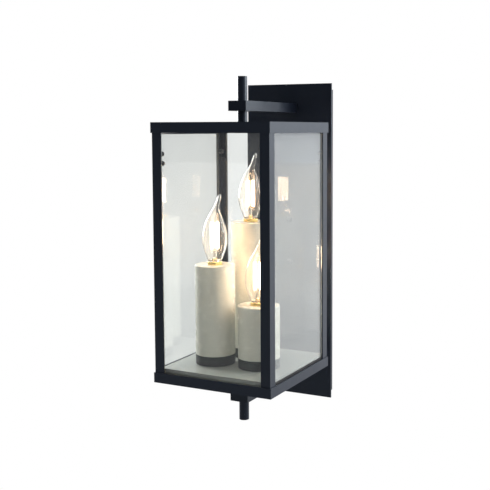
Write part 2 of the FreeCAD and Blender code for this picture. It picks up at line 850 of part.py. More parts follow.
def make_candle(name, across, along, height):
    height = as_length(height)
    x = as_length(across)
    y = AXIS_Y + along
    radius = size("sleeve_radius")
    inner = radius - size("sleeve_wall")
    wall = size("sleeve_wall")
    spigot = inner - 0.1
    nipple_hole = size("nipple_radius")
    cup_profile = (
        (nipple_hole, 0),
        (radius - 0.4, 0),
        (radius, 0.4),
        (radius, size("cup_height")),
        (spigot, size("cup_height")),
        (spigot, size("cup_height") + size("spigot_height")),
        (spigot - wall, size("cup_height") + size("spigot_height")),
        (spigot - wall, wall),
        (nipple_hole, wall),
    )
    keep(lathe(f"{name}_candle_cup", cup_profile, (x, y, TRAY_TOP)), f"{name}_candle_cup")

    mouth = size("sleeve_mouth")
    sleeve_profile = (
        (inner, 0),
        (radius, 0),
        (radius, height - 1.0),
        (radius - 0.3, height - 0.3),
        (radius - 1.0, height),
        (mouth, height),
        (mouth, height - wall),
        (inner, height - wall),
    )
    keep(lathe(f"{name}_sleeve", sleeve_profile, (x, y, SLEEVE_FOOT)), f"{name}_sleeve")

    shell = size("socket_shell_radius") + size("socket_shell_wall")
    socket_height = size("socket_height")
    socket_top = SLEEVE_FOOT + height - size("socket_drop")
    entry = size("socket_entry")
    floor = size("socket_floor")
    socket_profile = (
        (nipple_hole, 0),
        (size("socket_radius") - 2, 0),
        (size("socket_radius"), 3),
        (size("socket_radius"), socket_height),
        (shell, socket_height),
        (shell, floor),
        (size("nipple_bore"), floor),
        (size("nipple_bore"), entry),
        (nipple_hole, entry),
    )
    socket_foot = socket_top - socket_height
    keep(lathe(f"{name}_socket", socket_profile, (x, y, socket_foot)), f"{name}_socket")
    return x, y, socket_foot, socket_top


def make_candle_metalwork(places, nuts):
    """Nipples, nuts and socket contacts, which are alike in all three candles."""
    nipples, contacts = [], []
    nut_height = size("nut_height")
    nipple_foot = TRAY_TOP - size("sheet") - nut_height * 1.4
    radius = size("nipple_radius")
    hollow = size("nipple_bore")
    for name, (x, y, socket_foot, socket_top) in places.items():
        length = socket_foot + size("socket_entry") - 0.5 - nipple_foot
        nipples.append(tube(f"{name}_nipple", radius, hollow, length, (x, y, nipple_foot)))
        under = TRAY_TOP - size("sheet") - nut_height
        over = TRAY_TOP + size("sleeve_wall")
        for word, level in (("under", under), ("over", over)):
            nuts.append(hexagon_nut(f"{name}_{word}_nut", radius, (x, y, level)))
        depth = size("socket_shell_depth")
        bore = size("socket_shell_radius")
        shell_at = (x, y, socket_top - depth - 0.8)
        contacts.append(tube(f"{name}_shell", bore + size("socket_shell_wall"), bore, depth, shell_at))
        lamp_tip = socket_top + size("socket_drop") - size("lamp_shell_depth") - LAMP_TIP_DEPTH
        tongue_foot = lamp_tip - 0.05 - 0.6
        contacts.append(tube(f"{name}_tongue", 5.0, hollow, 0.6, (x, y, tongue_foot)))
    keep(group("candle_nipples", nipples), "candle_nipples")
    keep(group("lock_nuts", nuts), "lock_nuts")
    keep(group("socket_contacts", contacts), "socket_contacts")


def lamp_glass(name, at):
    """A thin bent-tip flame: an outer loft through circles, less an inner one."""
    body = new_body(name)
    wall = size("lamp_glass_wall")
    for word, kind, thinner in (("outside", "Additive", 0.0), ("inside", "Subtractive", 1.0)):
        sketches = []
        sections = LAMP_SECTIONS if not thinner else LAMP_SECTIONS[:-1]
        for number, (height, radius, lean) in enumerate(sections):
            above = as_length(height)
            across = as_length(radius)
            if thinner:
                across = across - wall
                if number == 0:
                    above = above + wall
            sketch = new_sketch(body, f"{name}_{word}_{number}", "XY_Plane", above)
            draw_circle(sketch, lean, 0, across)
            sketches.append(sketch)
        DOC.recompute()
        loft = body.newObject(f"PartDesign::{kind}Loft", f"{name}_{word}")
        loft.Profile = sketches[0]
        loft.Sections = sketches[1:]
        DOC.recompute()
    return place(body, at, FreeCAD.Rotation(UP, LAMP_LEAN_ANGLE))


def make_lamp(name, x, y, sleeve_top):
    shell = size("lamp_shell_radius")
    collar = size("lamp_collar_radius")
    drop = size("lamp_collar_drop")
    depth = size("lamp_shell_depth")
    top = size("lamp_collar_top")
    base_profile = (
        (shell - 0.5, -depth),
        (shell, -depth),
        (shell, -drop),
        (collar - 0.6, -drop),
        (collar, 0),
        (collar, top),
        (collar - 0.7, top),
        (collar - 0.7, -drop + 0.6),
        (shell - 0.5, -drop + 0.6),
    )
    keep(lathe(f"{name}_lamp_base", base_profile, (x, y, sleeve_top)), f"{name}_lamp_base")

    contact_profile = (
        (0, -depth - LAMP_TIP_DEPTH),
        (1.8, -depth - LAMP_TIP_DEPTH),
        (2.4, -depth - 1.8),
        (shell - 1.2, -depth),
        (shell - 0.6, -depth),
        (shell - 0.6, -depth + 2),
        (0, -depth + 2),
    )
    keep(lathe(f"{name}_lamp_contact", contact_profile, (x, y, sleeve_top)), f"{name}_lamp_contact")

    glass_foot = sleeve_top + top
    keep(lamp_glass(f"{name}_lamp_glass", (x, y, glass_foot)), f"{name}_lamp_glass")
    keep(make_filaments(name, x, y, glass_foot), f"{name}_filaments")


def make_filaments(name, x, y, glass_foot):
    """Four upright light sticks between two discs, on a mast from the glass's foot."""
    sticks = []
    for number in range(4):
        angle = math.radians(45 + 90 * number + LAMP_LEAN_ANGLE)
        ring_radius = 4.4
        at = (x + ring_radius * math.cos(angle), y + ring_radius * math.sin(angle), glass_foot + 16)
        sticks.append(rod(f"{name}_stick_{number}", 0.9, 34, at))
    mast = rod(f"{name}_mast", 0.5, 46, (x, y, glass_foot + 4))
    foot = rod(f"{name}_stem_foot", 3.2, 12, (x, y, glass_foot + size("lamp_glass_wall")))
    lower_disc = rod(f"{name}_lower_disc", 5.2, 0.6, (x, y, glass_foot + 15.4))
    upper_disc = rod(f"{name}_upper_disc", 5.2, 0.6, (x, y, glass_foot + 50))
    return fuse(f"{name}_filaments", mast, foot, lower_disc, upper_disc, *sticks)


# ---- wiring ----

def swept_lead(name, points, bend):
    """A round lead along straight runs joined by tangent arcs."""
    edges = []
    start = points[0]
    for here, after in zip(points[1:-1], points[2:]):
        inward = (here - start).normalize()
        outward = (after - here).normalize()
        half_turn = inward.getAngle(outward) / 2
        setback = bend * math.tan(half_turn)
        arc_start = here - inward * setback
        arc_end = here + outward * setback
        bisector = (outward - inward).normalize()
        centre = here + bisector * (bend / math.cos(half_turn))
        middle = centre - bisector * bend
        edges.append(Part.LineSegment(start, arc_start).toShape())
        edges.append(Part.Arc(arc_start, middle, arc_end).toShape())
        start = arc_end
    edges.append(Part.LineSegment(start, points[-1]).toShape())
    path = Part.Wire(edges)
    radius = size("lead_radius").value
    ring_edge = Part.makeCircle(radius, points[0], points[1] - points[0])
    lead = DOC.addObject("Part::Feature", name)
    lead.Shape = path.makePipeShell([Part.Wire([ring_edge])], True, False)
    return lead


def make_wiring(places):
    """Supply leads from behind the plate through the lower arm and stem, then up to each socket."""
    arm = -size("arm_level").value
    behind = PLATE_BACK.value + 6.5
    axis_y = AXIS_Y.value
    gathered = TRAY_TOP.value - 9.5
    leads = []
    for word, across in (("live", -1.3), ("neutral", 1.3)):
        points = [
            FreeCAD.Vector(across, behind, arm + 60),
            FreeCAD.Vector(across, behind, arm),
            FreeCAD.Vector(across, axis_y, arm),
            FreeCAD.Vector(across, axis_y, gathered),
        ]
        leads.append(swept_lead(f"{word}_supply_lead", points, 5.0))
    for name, (x, y, socket_foot, _) in places.items():
        spread = FreeCAD.Vector(x.value, y.value - axis_y, 0).normalize() * 4.5
        side = FreeCAD.Vector(-spread.y, spread.x, 0).normalize() * 1.25
        for word, sign in (("live", -1), ("neutral", 1)):
            offset = side * sign
            points = [
                FreeCAD.Vector(0, axis_y, gathered) + spread + offset,
                FreeCAD.Vector(x.value, y.value, gathered) + offset,
                FreeCAD.Vector(x.value, y.value, socket_foot.value + 7) + offset,
            ]
            leads.append(swept_lead(f"{name}_{word}_branch", points, 5.0))
    keep(group("wiring", leads), "wiring")


# ---- the whole lantern ----

def make_lantern():
    make_wall_plate()
    make_backing()
    make_crossbar()
    make_arm("upper_arm", size("arm_level"), has_wires=False)
    make_arm("lower_arm", -size("arm_level"), has_wires=True)
    make_arm_bolts()
    make_stems()
    stem_nuts = make_stem_fixings()
    make_cap()
    make_pan()
    make_tray()
    make_plain_post("front_right_post", 0.0)
    make_plain_post("back_right_post", 90.0)
    make_stop_post("front_left_post", -1)
    make_stop_post("back_left_post", 1)
    make_panes()
    make_pane_screws()
    make_door_leaf()
    make_hinges()
    make_door_fittings()
    places = {}
    for name, across, along, height in CANDLES:
        x, y, socket_foot, socket_top = make_candle(name, across, along, height)
        places[name] = (x, y, socket_foot, socket_top)
        make_lamp(name, x, y, SLEEVE_FOOT + height)
    make_candle_metalwork(places, stem_nuts)
    make_wiring(places)


def check_document():
    for item in DOC.Objects:
        if "Invalid" in item.State or "Error" in item.State:
            raise RuntimeError(f"{item.Name} failed: {item.State}")
    for item in SUB_PARTS:
        if item.Shape.isNull() or not item.Shape.isValid():
            raise RuntimeError(f"{item.Label} has no valid shape")
        for solid in item.Shape.Solids:
            if solid.Volume <= 0:
                raise RuntimeError(f"{item.Label} holds an inside-out solid")


def export_sub_parts():
    os.makedirs("parts", exist_ok=True)
    for item in SUB_PARTS:
        item.Shape.exportStep(f"parts/{item.Label}.step")
        print(f"{item.Label}: {len(item.Shape.Solids)} solids, {item.Shape.Volume:.1f} mm3")
    print(f"{len(SUB_PARTS)} sub-parts")


make_lantern()
DOC.recompute()
check_document()
export_sub_parts()
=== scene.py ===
import math

import bmesh
import bpy
from mathutils import Matrix, Vector


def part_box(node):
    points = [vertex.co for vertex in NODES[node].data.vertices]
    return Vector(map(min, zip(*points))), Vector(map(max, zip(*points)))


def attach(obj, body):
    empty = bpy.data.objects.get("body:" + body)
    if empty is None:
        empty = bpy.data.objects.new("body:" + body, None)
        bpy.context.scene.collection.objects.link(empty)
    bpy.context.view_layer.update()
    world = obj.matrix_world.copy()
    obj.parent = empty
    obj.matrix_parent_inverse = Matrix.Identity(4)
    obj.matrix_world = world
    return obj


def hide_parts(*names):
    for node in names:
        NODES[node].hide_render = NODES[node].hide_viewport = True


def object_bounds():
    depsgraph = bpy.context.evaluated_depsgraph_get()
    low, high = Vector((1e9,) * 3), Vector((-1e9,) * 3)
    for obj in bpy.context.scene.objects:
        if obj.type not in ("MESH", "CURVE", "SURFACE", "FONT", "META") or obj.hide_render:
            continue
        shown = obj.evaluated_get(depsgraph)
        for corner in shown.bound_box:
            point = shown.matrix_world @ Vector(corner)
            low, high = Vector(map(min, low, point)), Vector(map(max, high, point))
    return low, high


# Outdoor wall lantern: a black square cage with clear panes, carried between two arms on a wall plate,
# with three lit candle lamps. Metres throughout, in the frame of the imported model.

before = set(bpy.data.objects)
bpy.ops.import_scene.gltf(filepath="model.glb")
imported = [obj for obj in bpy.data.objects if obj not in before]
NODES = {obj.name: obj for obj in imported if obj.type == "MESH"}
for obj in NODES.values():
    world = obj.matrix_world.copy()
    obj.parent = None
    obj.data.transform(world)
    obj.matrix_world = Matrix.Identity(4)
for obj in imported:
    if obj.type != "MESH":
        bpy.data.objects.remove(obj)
CAD_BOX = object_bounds()
MM = 0.001
CANDLES = ("left", "right", "rear")

# ---- camera, close to the photograph's view from the lantern's right ----

CAMERA_PLACE = Vector((0.5486, -1.1134, 0.1567))
CAMERA_YAW = math.radians(25.78)
CAMERA_DROP = math.radians(4.995)
CAMERA_ROLL = math.radians(-0.051)
CAMERA_LENS = 64.25
CAMERA_SHIFT = (-0.1111, -0.08)

# ---- lamp: a bent flame of clear glass on a brass collar ----

# Height above the collar, radius, and how far the middle has leaned, in millimetres.
LAMP_SECTIONS = (
    (0.0, 8.4, 0.0),
    (7.0, 11.2, 0.0),
    (14.5, 13.9, 0.0),
    (25.0, 16.2, 0.0),
    (34.0, 15.8, 0.0),
    (43.0, 14.2, 0.1),
    (55.0, 10.2, 0.4),
    (65.0, 5.2, 1.5),
    (74.0, 2.9, 4.0),
    (81.0, 2.3, 5.9),
    (84.6, 1.6, 6.6),
    (85.4, 0.5, 6.7),
)
LAMP_LEAN_ANGLE = math.radians(26.0)

# The rest of the lamp, in millimetres. GLOW is the strength of the light sticks' emission.
LAMP_WALL = 0.6
COLLAR_TOP = 4.0
STICK_COUNT = 4
STICK_RADIUS = 1.7
STICK_RING = 5.0
STICK_FOOT = 16.0
STICK_LENGTH = 34.0
GLOW = 36.0
WIRE_RADIUS = 0.22
SHELL_CREST = 5.9
SHELL_WALL = 0.4
THREAD_PITCH = 2.54
THREAD_DEPTH = 0.28
COLLAR_FLUTES = 28

# ---- fasteners, in millimetres ----

LEG_INSIDE = 79.95
PANE_SCREW_OFFSET = 71.4
FRONT_SCREW_LEVEL = 115.0
SIDE_SCREW_LEVEL = 126.7
SCREW_SHANK = 1.5
SCREW_HEAD_FOOT = 3.75
SLOT_FLOOR = 9.0
SLOT_HALF_WIDTH = 0.45
SLOT_CUT = 1.0
NUT_RADIUS = 4.6
NUT_FLATS_TOP = 3.3
NUT_FLATS_INSIDE = 4.0

# The radius, in millimetres, that a turned outline has where it closes on its own axis.
AXIS_POINT = 0.001

# ---- edges and stage, in metres ----

SHEET_EDGE = 0.00035
TRAY_EDGE = 0.0004
FLOOR_DROP = 0.28
FLOOR_REACH = 14.0

# Name, place, the point it faces, width in metres and power in watts.
LIGHTS = (
    ("overhead", (0.2, 0.4, 1.9), (0.0, -0.1, 0.0), 1.6, 22.0),
    ("side_box", (1.5, 0.95, 0.62), (0.0, -0.12, 0.0), 0.9, 30.0),
    ("left_box", (-1.35, 0.35, 0.35), (0.0, -0.15, 0.0), 0.8, 34.0),
)


# ---- node helpers ----

class Shade:
    """A new material with its Principled shader, and short ways to add and join nodes."""

    def __init__(self, name, **sockets):
        self.material = bpy.data.materials.new(name)
        self.material.use_nodes = True
        self.tree = self.material.node_tree
        self.shader = self.tree.nodes["Principled BSDF"]
        self.output = self.tree.nodes["Material Output"]
        for socket, value in sockets.items():
            self.shader.inputs[socket.replace("_", " ")].default_value = value
        self.place = self.add("ShaderNodeTexCoord").outputs["Object"]

    def add(self, kind, **settings):
        node = self.tree.nodes.new(kind)
        for name, value in settings.items():
            if name in node.inputs:
                node.inputs[name].default_value = value
            else:
                setattr(node, name, value)
        return node

    def join(self, source, target):
        self.tree.links.new(source, target)

    def noise(self, scale, detail=3.0, roughness=0.55, stretch=(1.0, 1.0, 1.0)):
        mapping = self.add("ShaderNodeMapping")
        mapping.inputs["Scale"].default_value = stretch
        self.join(self.place, mapping.inputs["Vector"])
        node = self.add("ShaderNodeTexNoise", Scale=scale, Detail=detail, Roughness=roughness)
        self.join(mapping.outputs["Vector"], node.inputs["Vector"])
        return node.outputs["Fac"]

    def remap(self, source, low, high, to_low, to_high):
        node = self.add("ShaderNodeMapRange", clamp=True)
        for name, value in (("From Min", low), ("From Max", high), ("To Min", to_low), ("To Max", to_high)):
            node.inputs[name].default_value = value
        self.join(source, node.inputs["Value"])
        return node.outputs["Result"]

    def maths(self, operation, first, second):
        node = self.add("ShaderNodeMath", operation=operation)
        for socket, value in zip(node.inputs, (first, second)):
            if isinstance(value, (int, float)):
                socket.default_value = value
            else:
                self.join(value, socket)
        return node.outputs["Value"]

    def blend(self, factor, first, second):
        node = self.add("ShaderNodeMix", data_type="RGBA")
        for socket, value in ((node.inputs[0], factor), (node.inputs[6], first), (node.inputs[7], second)):
            if isinstance(value, tuple):
                socket.default_value = (*value, 1.0)
            elif isinstance(value, float):
                socket.default_value = value
            else:
                self.join(value, socket)
        return node.outputs[2]

    def bump(self, height, depth, strength=1.0):
        node = self.add("ShaderNodeBump", Strength=strength, Distance=depth)
        self.join(height, node.inputs["Height"])
        self.join(node.outputs["Normal"], self.shader.inputs["Normal"])

    def edges(self, radius):
        """A mask that is 1 on sharp edges and 0 on flat stretches."""
        rounded = self.add("ShaderNodeBevel", samples=4, Radius=radius)
        flat = self.add("ShaderNodeNewGeometry")
        compare = self.add("ShaderNodeVectorMath", operation="DOT_PRODUCT")
        self.join(rounded.outputs["Normal"], compare.inputs[0])
        self.join(flat.outputs["Normal"], compare.inputs[1])
        return self.remap(compare.outputs["Value"], 0.99, 0.86, 0.0, 1.0)

    def colour(self, source):
        self.join(source, self.shader.inputs["Base Color"])

    def roughness(self, source):
        self.join(source, self.shader.inputs["Roughness"])

    def let_light_through(self, tint):
        """Lamps and sky light pass straight through, as they do through a real thin pane."""
        path = self.add("ShaderNodeLightPath")
        clear = self.add("ShaderNodeBsdfTransparent", Color=(*tint, 1.0))
        mix = self.add("ShaderNodeMixShader")
        self.join(path.outputs["Is Shadow Ray"], mix.inputs["Fac"])
        self.join(self.shader.outputs["BSDF"], mix.inputs[1])
        self.join(clear.outputs["BSDF"], mix.inputs[2])
        self.join(mix.outputs["Shader"], self.output.inputs["Surface"])


def seen_directly(tree):
    """A factor that is 1 for what is seen straight or through clear glass, and 0 for reflected light."""
    path = tree.nodes.new("ShaderNodeLightPath")
    bounces = tree.nodes.new("ShaderNodeMath")
    tree.links.new(path.outputs["Diffuse Depth"], bounces.inputs[0])
    tree.links.new(path.outputs["Glossy Depth"], bounces.inputs[1])
    none = tree.nodes.new("ShaderNodeMath")
    none.operation = "LESS_THAN"
    none.inputs[1].default_value = 0.5
    tree.links.new(bounces.outputs["Value"], none.inputs[0])
    return none.outputs["Value"]


# ---- materials ----

def coat(name, dark, light, worn, low, high, peel=0.00004, **sockets):
    """Sprayed or powder coat: cloudy colour, orange peel, uneven sheen and rubbed edges."""
    shade = Shade(name, IOR=1.5, **sockets)
    clouds = shade.remap(shade.noise(14.0, 4.0), 0.3, 0.7, 0.0, 1.0)
    body = shade.blend(clouds, dark, light)
    wear = shade.remap(shade.noise(260.0), 0.42, 0.62, 0.0, 0.8)
    rubbed = shade.maths("MULTIPLY", shade.edges(0.0006), wear)
    shade.colour(shade.blend(rubbed, body, worn))
    sheen = shade.remap(shade.noise(55.0, 5.0), 0.25, 0.75, low, high)
    shade.roughness(shade.maths("SUBTRACT", sheen, shade.maths("MULTIPLY", rubbed, 0.08)))
    shade.bump(shade.noise(1500.0, 2.0), peel, 0.35)
    return shade.material


def plated(name, dark, light, low, high, metallic=1.0, brush=(1.0, 1.0, 14.0)):
    """Plated or drawn metal with fine streaks and patches of tarnish."""
    shade = Shade(name, Metallic=metallic)
    tarnish = shade.remap(shade.noise(70.0, 5.0), 0.35, 0.7, 0.0, 1.0)
    shade.colour(shade.blend(tarnish, light, dark))
    shade.roughness(shade.remap(shade.noise(320.0, 3.0, stretch=brush), 0.3, 0.7, low, high))
    shade.bump(shade.noise(900.0, 2.0, stretch=brush), 0.00003, 0.3)
    return shade.material


def moulded(name, dark, light, low, high, grain=900.0, depth=0.00003, **sockets):
    """Moulded plastic, foam or insulation."""
    shade = Shade(name, **sockets)
    patches = shade.remap(shade.noise(45.0, 4.0), 0.3, 0.7, 0.0, 1.0)
    shade.colour(shade.blend(patches, dark, light))
    shade.roughness(shade.remap(shade.noise(130.0, 3.0), 0.3, 0.7, low, high))
    shade.bump(shade.noise(grain, 3.0), depth, 0.4)
    return shade.material


def pane_glass(name, film_weight, tint):
    """Clear float glass with a faint film, a little thicker in patches: dust, and on the right-hand pane
    partly painted light.
    """
    shade = Shade(name, Transmission_Weight=1.0 - film_weight, IOR=1.52, Roughness=0.0)
    film = shade.remap(shade.noise(22.0, 5.0, stretch=(1.0, 1.0, 0.6)), 0.35, 0.75, 0.0, 1.0)
    shade.colour(shade.blend(film, tint, tuple(0.96 * part for part in tint)))
    shade.let_light_through((0.86, 0.88, 0.87))
    return shade.material


def lamp_glass_material():
    shade = Shade("lamp_glass", Transmission_Weight=0.985, IOR=1.3)
    streaks = shade.remap(shade.noise(90.0, 3.0, stretch=(1.0, 1.0, 0.15)), 0.4, 0.7, 0.0, 1.0)
    shade.colour(shade.blend(streaks, (1.0, 0.985, 0.96), (0.97, 0.94, 0.89)))
    shade.roughness(shade.remap(shade.noise(40.0), 0.4, 0.75, 0.0, 0.015))
    shade.let_light_through((0.97, 0.96, 0.94))
    return shade.material


def lit_stick():
    """A glowing light stick, with beads of paler and warmer light."""
    shade = Shade("lit_stick", Roughness=0.5, Emission_Strength=GLOW)
    beads = shade.remap(shade.noise(700.0, 1.0), 0.35, 0.65, 0.0, 1.0)
    shade.colour(shade.blend(beads, (1.0, 0.72, 0.25), (1.0, 0.8, 0.4)))
    glow = shade.blend(beads, (1.0, 0.70, 0.50), (1.0, 0.78, 0.60))
    shade.join(glow, shade.shader.inputs["Emission Color"])
    return shade.material


COLD_SHEEN = (0.82, 0.93, 1.0, 1.0)
BLACK_COAT = coat(
    "black_coat",
    (0.0095, 0.013, 0.023),
    (0.0135, 0.0175, 0.030),
    (0.05, 0.055, 0.065),
    0.30,
    0.42,
    Specular_Tint=COLD_SHEEN,
)
CUP_COAT = moulded(
    "cup_coat",
    (0.006, 0.009, 0.008),
    (0.011, 0.015, 0.013),
    0.5,
    0.62,
    Specular_IOR_Level=0.2,
)
TRAY_COAT = coat(
    "tray_coat",
    (0.28, 0.285, 0.255),
    (0.34, 0.34, 0.305),
    (0.38, 0.38, 0.36),
    0.16,
    0.26,
    peel=0.00001,
)
SCREW_COAT = coat("screw_coat", (0.02, 0.024, 0.03), (0.03, 0.034, 0.04), (0.2, 0.2, 0.2), 0.28, 0.42)
SLEEVE = moulded("sleeve_plastic", (0.58, 0.565, 0.485), (0.64, 0.62, 0.53), 0.2, 0.3, grain=420.0)
FOAM = moulded("foam", (0.02, 0.02, 0.021), (0.035, 0.035, 0.036), 0.85, 0.98, grain=1600.0, depth=0.00015)
TAPE = moulded("foam_tape", (0.13, 0.135, 0.13), (0.21, 0.21, 0.19), 0.6, 0.8, grain=1600.0, depth=0.0001)
PHENOLIC = moulded("phenolic", (0.018, 0.016, 0.015), (0.03, 0.027, 0.025), 0.3, 0.45)
INSULATION = moulded("insulation", (0.03, 0.03, 0.032), (0.05, 0.05, 0.052), 0.4, 0.55)
ZINC = plated("zinc_plate", (0.45, 0.45, 0.43), (0.68, 0.69, 0.68), 0.25, 0.42)
BRASS = plated("lamp_brass", (0.72, 0.46, 0.13), (0.95, 0.70, 0.26), 0.2, 0.34)
CONTACT_BRASS = plated("contact_brass", (0.55, 0.40, 0.18), (0.75, 0.58, 0.30), 0.25, 0.4)
SOLDER = plated("solder", (0.35, 0.35, 0.36), (0.6, 0.6, 0.61), 0.35, 0.55, brush=(1.0, 1.0, 1.0))
NICKEL = plated("nickel", (0.6, 0.59, 0.56), (0.8, 0.79, 0.76), 0.12, 0.25)
GREEN_SCREW = plated("green_screw", (0.02, 0.16, 0.06), (0.05, 0.3, 0.12), 0.3, 0.45, metallic=0.6)
WIRE = plated("support_wire", (0.5, 0.42, 0.3), (0.7, 0.62, 0.5), 0.2, 0.35)
CLEAN_PANE = pane_glass("clean_pane", 0.01, (0.97, 0.985, 0.975))
# The right-hand pane's heavy film is partly dust and partly painted light: it makes that pane pale, as the
# light falling across it does.
DUST_AND_PAINTED_LIGHT_PANE = pane_glass("dust_and_painted_light_pane", 0.12, (0.85, 0.88, 0.88))
DOOR_PANE = pane_glass("door_pane", 0.03, (0.84, 0.86, 0.85))
LAMP_GLASS = lamp_glass_material()
LIT = lit_stick()


# ---- mesh helpers ----

def new_piece(name, mesh, body, slot, material, *replaced):
    piece = bpy.data.objects.new(name, mesh)
    bpy.context.scene.collection.objects.link(piece)
    mesh.materials.append(material)
    for polygon in mesh.polygons:
        polygon.use_smooth = True
    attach(piece, body)
    if replaced:
        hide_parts(*replaced)
    return piece


def finish_mesh(name, bm):
    bmesh.ops.remove_doubles(bm, verts=bm.verts, dist=1e-7)
    bmesh.ops.recalc_face_normals(bm, faces=bm.faces)
    mesh = bpy.data.meshes.new(name)
    bm.to_mesh(mesh)
    bm.free()
    return mesh


def add_turned(bm, outline, at=Vector(), sides=64, turn=None, radius_at=None, lean_at=None, dent_at=None):
    """Turns a closed outline of (radius, height), in millimetres, about its axis."""
    turn = turn or Matrix.Identity(3)
    rings = []
    for radius, height in outline:
        ring = []
        for side in range(sides):
            angle = 2.0 * math.pi * side / sides
            reach = radius_at(radius, height, angle) if radius_at else radius
            across = lean_at(height) if lean_at else Vector((0.0, 0.0))
            local = Vector((across.x + reach * math.cos(angle), across.y + reach * math.sin(angle), height))
            if dent_at:
                local.z -= dent_at(local)
            ring.append(bm.verts.new(at + turn @ (local * MM)))
        rings.append(ring)
    for low, high in zip(rings, rings[1:] + rings[:1]):
        for side in range(sides):
            after = (side + 1) % sides
            corners = (low[side], low[after], high[after], high[side])
            if len({tuple(round(c, 9) for c in corner.co) for corner in corners}) > 2:
                bm.faces.new(corners)


def smooth_through(points, steps):
    """More rows between the given ones, on a Catmull-Rom curve through them."""
    rows = []
    last = len(points) - 1
    for index in range(last):
        before, here = points[max(index - 1, 0)], points[index]
        after, beyond = points[index + 1], points[min(index + 2, last)]
        for step in range(steps):
            t = step / steps
            rows.append(tuple(
                0.5 * (2 * b + (c - a) * t + (2 * a - 5 * b + 4 * c - d) * t ** 2
                       + (3 * b - a - 3 * c + d) * t ** 3)
                for a, b, c, d in zip(before, here, after, beyond)
            ))
    rows.append(points[-1])
    return rows


def middle(node):
    low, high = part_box(node)
    return (low + high) / 2


# ---- CAD nodes that keep their shape ----

def soften(name, width):
    """Rounds the outer edges of a folded or cut sheet part."""
    piece = NODES[name]
    flatten = piece.modifiers.new("merge_flats", "DECIMATE")
    flatten.decimate_type = "DISSOLVE"
    flatten.angle_limit = math.radians(0.5)
    bevel = piece.modifiers.new("soft_edges", "BEVEL")
    bevel.width = width
    bevel.segments = 2
    bevel.limit_method = "ANGLE"
    bevel.angle_limit = math.radians(40.0)
    weighted = piece.modifiers.new("even_normals", "WEIGHTED_NORMAL")
    weighted.keep_sharp = False


def dress(material, *names):
    for name in names:
        mesh = NODES[name].data
        mesh.materials.clear()
        mesh.materials.append(material)


def dress_nodes():
    sheet_parts = (
        "wall_plate", "backing_frame", "top_cap", "bottom_pan", "front_right_post", "back_right_post",
        "front_left_post", "back_left_post", "door_leaf", "upper_arm", "lower_arm",
    )
    dress(BLACK_COAT, *sheet_parts)
    dress(BLACK_COAT, "upper_stem", "lower_stem", "stem_end_caps")
    dress(BLACK_COAT, "hinge_fixed_halves", "hinge_door_halves", "door_knob")
    for name in sheet_parts:
        soften(name, SHEET_EDGE)
    dress(TRAY_COAT, "floor_tray")
    soften("floor_tray", TRAY_EDGE)
    dress(CLEAN_PANE, "front_glass", "back_glass")
    dress(DOOR_PANE, "door_glass")
    dress(DUST_AND_PAINTED_LIGHT_PANE, "right_glass")
    dress(FOAM, "wall_gasket")
    dress(TAPE, "glazing_tape", "door_tape")
    dress(ZINC, "crossbar", "plate_studs", "arm_bolts", "upper_rod")
    dress(ZINC, "stem_nipple", "lock_nuts", "candle_nipples")
    dress(GREEN_SCREW, "ground_screw")
    dress(NICKEL, "catch_magnets")
    dress(INSULATION, "wiring")
    dress(CONTACT_BRASS, "socket_contacts")
    for candle in CANDLES:
        dress(CUP_COAT, f"{candle}_candle_cup")
        dress(SLEEVE, f"{candle}_sleeve")
        dress(PHENOLIC, f"{candle}_socket")
        dress(SOLDER, f"{candle}_lamp_contact")


# ---- lamps ----

def lamp_axis(candle):
    """The point on a lamp's axis where its glass meets the collar."""
    low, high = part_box(f"{candle}_lamp_base")
    return Vector(((low.x + high.x) / 2, (low.y + high.y) / 2, high.z))


def make_lamp_glass(candle):
    foot = lamp_axis(candle)
    rows = smooth_through(LAMP_SECTIONS, 4)
    heights = [row[0] for row in rows]

    def lean_at(height):
        clamped = min(max(height, heights[0]), heights[-1])
        index = next(i for i, h in enumerate(heights) if h >= clamped)
        return Vector((math.cos(LAMP_LEAN_ANGLE), math.sin(LAMP_LEAN_ANGLE))) * rows[index][2]

    outside = [(row[1], row[0]) for row in rows]
    hollow = [row for row in rows if LAMP_WALL < row[0] < rows[-1][0] - 1.5]
    inside = [(max(row[1] - LAMP_WALL, 0.25), row[0]) for row in hollow]
    outline = [(AXIS_POINT, 0.0)] + outside + [(AXIS_POINT, rows[-1][0]), (AXIS_POINT, inside[-1][1])]
    outline += inside[::-1] + [(AXIS_POINT, inside[0][1])]
    bm = bmesh.new()
    add_turned(bm, outline, foot, 72, lean_at=lean_at)
    mesh = finish_mesh(f"{candle}_lamp_envelope", bm)
    node = f"{candle}_lamp_glass"
    new_piece(f"{candle}_lamp_envelope", mesh, f"{candle}_lamp", "lamp_envelope_glass", LAMP_GLASS, node)


def stick_rays():
    """The directions from a lamp's axis to its light sticks."""
    for number in range(STICK_COUNT):
        angle = math.radians(45 + 360 / STICK_COUNT * number) + LAMP_LEAN_ANGLE
        yield Vector((math.cos(angle), math.sin(angle), 0.0))


def make_light_sticks(candle):
    foot = lamp_axis(candle)
    bm = bmesh.new()
    outline = (
        (AXIS_POINT, 0.0),
        (0.6, 0.15),
        (STICK_RADIUS, 0.8),
        (STICK_RADIUS, STICK_LENGTH - 0.8),
        (0.6, STICK_LENGTH - 0.15),
        (AXIS_POINT, STICK_LENGTH),
    )
    for ray in stick_rays():
        at = (ray * STICK_RING + Vector((0.0, 0.0, STICK_FOOT))) * MM
        add_turned(bm, outline, foot + at, 20)
    mesh = finish_mesh(f"{candle}_light_sticks", bm)
    new_piece(f"{candle}_light_sticks", mesh, f"{candle}_lamp", "lit_filament", LIT, f"{candle}_filaments")


